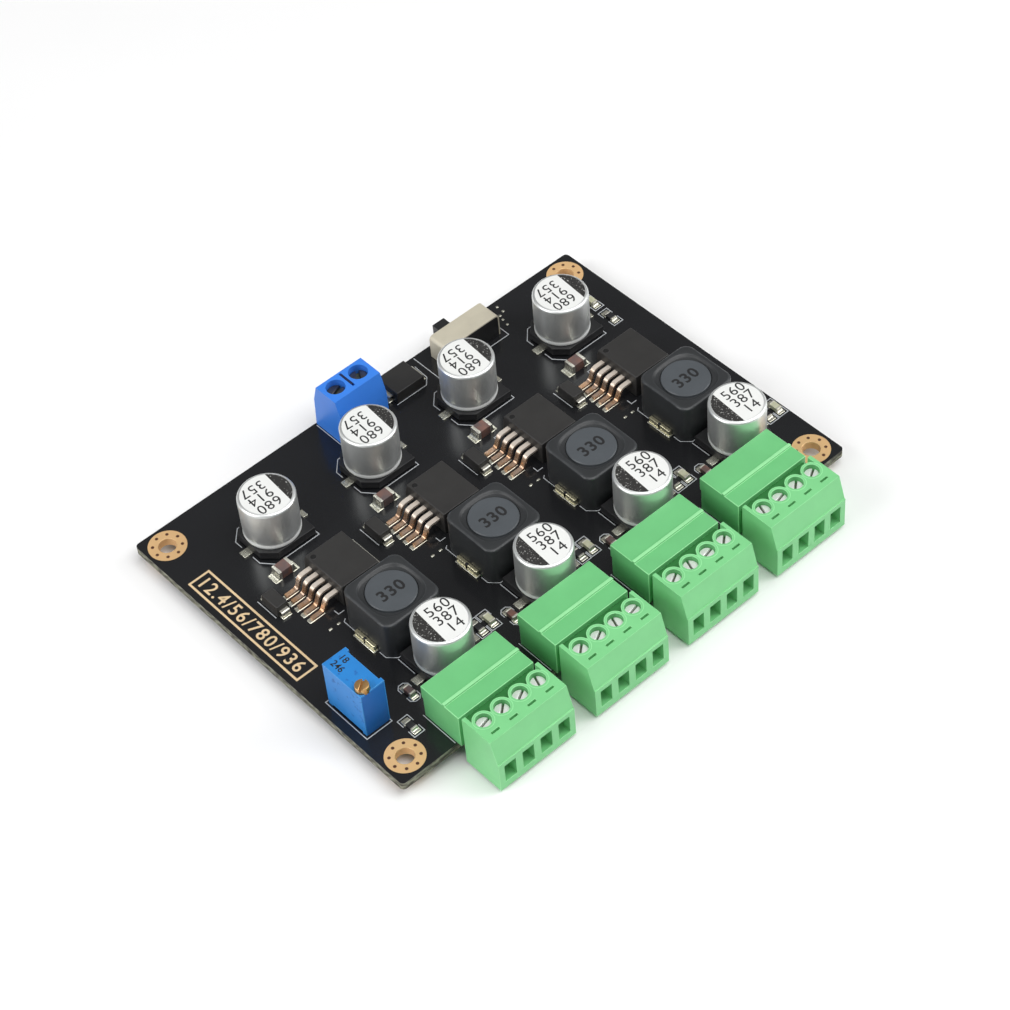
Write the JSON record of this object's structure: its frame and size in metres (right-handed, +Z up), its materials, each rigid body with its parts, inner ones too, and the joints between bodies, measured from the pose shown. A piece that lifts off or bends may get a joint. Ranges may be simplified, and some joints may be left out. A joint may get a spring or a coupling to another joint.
{
  "type": "buck converter module",
  "caption": "Multi-channel step-down converter board with a slide switch, a screw input terminal, a trimmer and pluggable screw terminals for the outputs.",
  "frame": {"origin": "centre of the four mounting holes, on the underside of the board", "axes": "+X along the row of outputs, +Y towards the input terminal and the switch, +Z up"},
  "size_m": [0.1, 0.0811, 0.0145],
  "materials": {
    "board_black": "gloss solder mask",
    "header_green": "satin moulded",
    "plug_green": "satin moulded",
    "terminal_blue": "satin moulded",
    "trimmer_blue": "satin moulded",
    "black_plastic": "satin moulded",
    "moulded_black": "matt moulded compound",
    "screw_steel": "zinc plated",
    "clamp_steel": "nickel plated",
    "tinned_lead": "tinned",
    "copper_lead": "tinned copper",
    "clip_tinned": "tinned",
    "shell_steel": "plated, satin",
    "brass_screw": "bright",
    "can_aluminium": "satin",
    "ferrite": "sintered, matt",
    "ferrite_core": "ground, satin",
    "chip_brown": "ceramic",
    "resistor_black": "glazed",
    "light_cream": "clear cap"
  },
  "bodies": {
    "board": {"circuit_board": "board_black", "header_1": "header_green", "header_2": "header_green", "header_3": "header_green", "header_4": "header_green", "header_pins": "tinned_lead", "input_terminal_housing": "terminal_blue", "input_terminal_pins": "tinned_lead", "switch_shell": "shell_steel", "switch_base": "black_plastic", "switch_terminals": "tinned_lead", "trimmer_body": "trimmer_blue", "trimmer_pins": "tinned_lead", "input_capacitor_cans": "can_aluminium", "output_capacitor_cans": "can_aluminium", "capacitor_bases": "black_plastic", "capacitor_leads": "tinned_lead", "regulator_bodies": "moulded_black", "regulator_lead_frames": "copper_lead", "inductor_shields": "ferrite", "inductor_cores": "ferrite_core", "inductor_clips": "clip_tinned", "catch_diodes": "moulded_black", "input_diode": "moulded_black", "diode_leads": "tinned_lead", "chip_capacitors": "chip_brown", "indicator_lights": "light_cream", "chip_resistors": "resistor_black"},
    "switch_slider": {"switch_slider": "black_plastic"},
    "trimmer_screw": {"trimmer_screw": "brass_screw"},
    "plug_1": {"plug_1": "plug_green", "plug_1_clamps": "clamp_steel"},
    "plug_1_screw_1": {"plug_1_screw_1": "screw_steel"},
    "plug_1_screw_2": {"plug_1_screw_2": "screw_steel"},
    "plug_1_screw_3": {"plug_1_screw_3": "screw_steel"},
    "plug_1_screw_4": {"plug_1_screw_4": "screw_steel"},
    "plug_2": {"plug_2": "plug_green", "plug_2_clamps": "clamp_steel"},
    "plug_2_screw_1": {"plug_2_screw_1": "screw_steel"},
    "plug_2_screw_2": {"plug_2_screw_2": "screw_steel"},
    "plug_2_screw_3": {"plug_2_screw_3": "screw_steel"},
    "plug_2_screw_4": {"plug_2_screw_4": "screw_steel"},
    "plug_3": {"plug_3": "plug_green", "plug_3_clamps": "clamp_steel"},
    "plug_3_screw_1": {"plug_3_screw_1": "screw_steel"},
    "plug_3_screw_2": {"plug_3_screw_2": "screw_steel"},
    "plug_3_screw_3": {"plug_3_screw_3": "screw_steel"},
    "plug_3_screw_4": {"plug_3_screw_4": "screw_steel"},
    "plug_4": {"plug_4": "plug_green", "plug_4_clamps": "clamp_steel"},
    "plug_4_screw_1": {"plug_4_screw_1": "screw_steel"},
    "plug_4_screw_2": {"plug_4_screw_2": "screw_steel"},
    "plug_4_screw_3": {"plug_4_screw_3": "screw_steel"},
    "plug_4_screw_4": {"plug_4_screw_4": "screw_steel"},
    "input_terminal_screw_1": {"input_terminal_screw_1": "screw_steel"},
    "input_terminal_clamp_1": {"input_terminal_clamp_1": "clamp_steel"},
    "input_terminal_screw_2": {"input_terminal_screw_2": "screw_steel"},
    "input_terminal_clamp_2": {"input_terminal_clamp_2": "clamp_steel"}
  },
  "joints": [
    {"name": "switch_slide", "type": "slide", "parent": "board", "child": "switch_slider", "axis": [1, 0, 0], "range_m": [0, 0.0032]},
    {"name": "trimmer_turn", "type": "hinge", "parent": "board", "child": "trimmer_screw", "pos_m": [-0.0464, -0.0226, 0.01], "axis": [0, 0, 1], "continuous": true},
    {"name": "plug_1_pull", "type": "slide", "parent": "board", "child": "plug_1", "axis": [0, -1, 0], "range_m": [0, 0.01]},
    {"name": "plug_1_screw_1_turn", "type": "hinge", "parent": "plug_1", "child": "plug_1_screw_1", "pos_m": [-0.03621, -0.0395, 0.008], "axis": [0, 0, -1], "range_deg": [0, 1440]},
    {"name": "plug_1_screw_2_turn", "type": "hinge", "parent": "plug_1", "child": "plug_1_screw_2", "pos_m": [-0.03241, -0.0395, 0.008], "axis": [0, 0, -1], "range_deg": [0, 1440]},
    {"name": "plug_1_screw_3_turn", "type": "hinge", "parent": "plug_1", "child": "plug_1_screw_3", "pos_m": [-0.02859, -0.0395, 0.008], "axis": [0, 0, -1], "range_deg": [0, 1440]},
    {"name": "plug_1_screw_4_turn", "type": "hinge", "parent": "plug_1", "child": "plug_1_screw_4", "pos_m": [-0.02479, -0.0395, 0.008], "axis": [0, 0, -1], "range_deg": [0, 1440]},
    {"name": "plug_2_pull", "type": "slide", "parent": "board", "child": "plug_2", "axis": [0, -1, 0], "range_m": [0, 0.01]},
    {"name": "plug_2_screw_1_turn", "type": "hinge", "parent": "plug_2", "child": "plug_2_screw_1", "pos_m": [-0.01562, -0.0395, 0.008], "axis": [0, 0, -1], "range_deg": [0, 1440]},
    {"name": "plug_2_screw_2_turn", "type": "hinge", "parent": "plug_2", "child": "plug_2_screw_2", "pos_m": [-0.0118, -0.0395, 0.008], "axis": [0, 0, -1], "range_deg": [0, 1440]},
    {"name": "plug_2_screw_3_turn", "type": "hinge", "parent": "plug_2", "child": "plug_2_screw_3", "pos_m": [-0.008, -0.0395, 0.008], "axis": [0, 0, -1], "range_deg": [0, 1440]},
    {"name": "plug_2_screw_4_turn", "type": "hinge", "parent": "plug_2", "child": "plug_2_screw_4", "pos_m": [-0.00419, -0.0395, 0.008], "axis": [0, 0, -1], "range_deg": [0, 1440]},
    {"name": "plug_3_pull", "type": "slide", "parent": "board", "child": "plug_3", "axis": [0, -1, 0], "range_m": [0, 0.01]},
    {"name": "plug_3_screw_1_turn", "type": "hinge", "parent": "plug_3", "child": "plug_3_screw_1", "pos_m": [0.00498, -0.0395, 0.008], "axis": [0, 0, -1], "range_deg": [0, 1440]},
    {"name": "plug_3_screw_2_turn", "type": "hinge", "parent": "plug_3", "child": "plug_3_screw_2", "pos_m": [0.0088, -0.0395, 0.008], "axis": [0, 0, -1], "range_deg": [0, 1440]},
    {"name": "plug_3_screw_3_turn", "type": "hinge", "parent": "plug_3", "child": "plug_3_screw_3", "pos_m": [0.0126, -0.0395, 0.008], "axis": [0, 0, -1], "range_deg": [0, 1440]},
    {"name": "plug_3_screw_4_turn", "type": "hinge", "parent": "plug_3", "child": "plug_3_screw_4", "pos_m": [0.01641, -0.0395, 0.008], "axis": [0, 0, -1], "range_deg": [0, 1440]},
    {"name": "plug_4_pull", "type": "slide", "parent": "board", "child": "plug_4", "axis": [0, -1, 0], "range_m": [0, 0.01]},
    {"name": "plug_4_screw_1_turn", "type": "hinge", "parent": "plug_4", "child": "plug_4_screw_1", "pos_m": [0.02559, -0.0395, 0.008], "axis": [0, 0, -1], "range_deg": [0, 1440]},
    {"name": "plug_4_screw_2_turn", "type": "hinge", "parent": "plug_4", "child": "plug_4_screw_2", "pos_m": [0.0294, -0.0395, 0.008], "axis": [0, 0, -1], "range_deg": [0, 1440]},
    {"name": "plug_4_screw_3_turn", "type": "hinge", "parent": "plug_4", "child": "plug_4_screw_3", "pos_m": [0.0332, -0.0395, 0.008], "axis": [0, 0, -1], "range_deg": [0, 1440]},
    {"name": "plug_4_screw_4_turn", "type": "hinge", "parent": "plug_4", "child": "plug_4_screw_4", "pos_m": [0.03701, -0.0395, 0.008], "axis": [0, 0, -1], "range_deg": [0, 1440]},
    {"name": "input_terminal_screw_1_turn", "type": "hinge", "parent": "board", "child": "input_terminal_screw_1", "pos_m": [-0.00747, 0.03085, 0.009], "axis": [0, 0, -1], "range_deg": [0, 1080]},
    {"name": "input_terminal_clamp_1_rise", "type": "slide", "parent": "board", "child": "input_terminal_clamp_1", "axis": [0, 0, 1], "range_m": [0, 0.0015]},
    {"name": "input_terminal_screw_2_turn", "type": "hinge", "parent": "board", "child": "input_terminal_screw_2", "pos_m": [-0.00239, 0.03085, 0.009], "axis": [0, 0, -1], "range_deg": [0, 1080]},
    {"name": "input_terminal_clamp_2_rise", "type": "slide", "parent": "board", "child": "input_terminal_clamp_2", "axis": [0, 0, 1], "range_m": [0, 0.0015]}
  ],
  "couplings": [
    {"joint": "input_terminal_screw_1_turn", "follows": "input_terminal_clamp_1_rise", "rad_per_m": 12560},
    {"joint": "input_terminal_screw_2_turn", "follows": "input_terminal_clamp_2_rise", "rad_per_m": 12560}
  ]
}
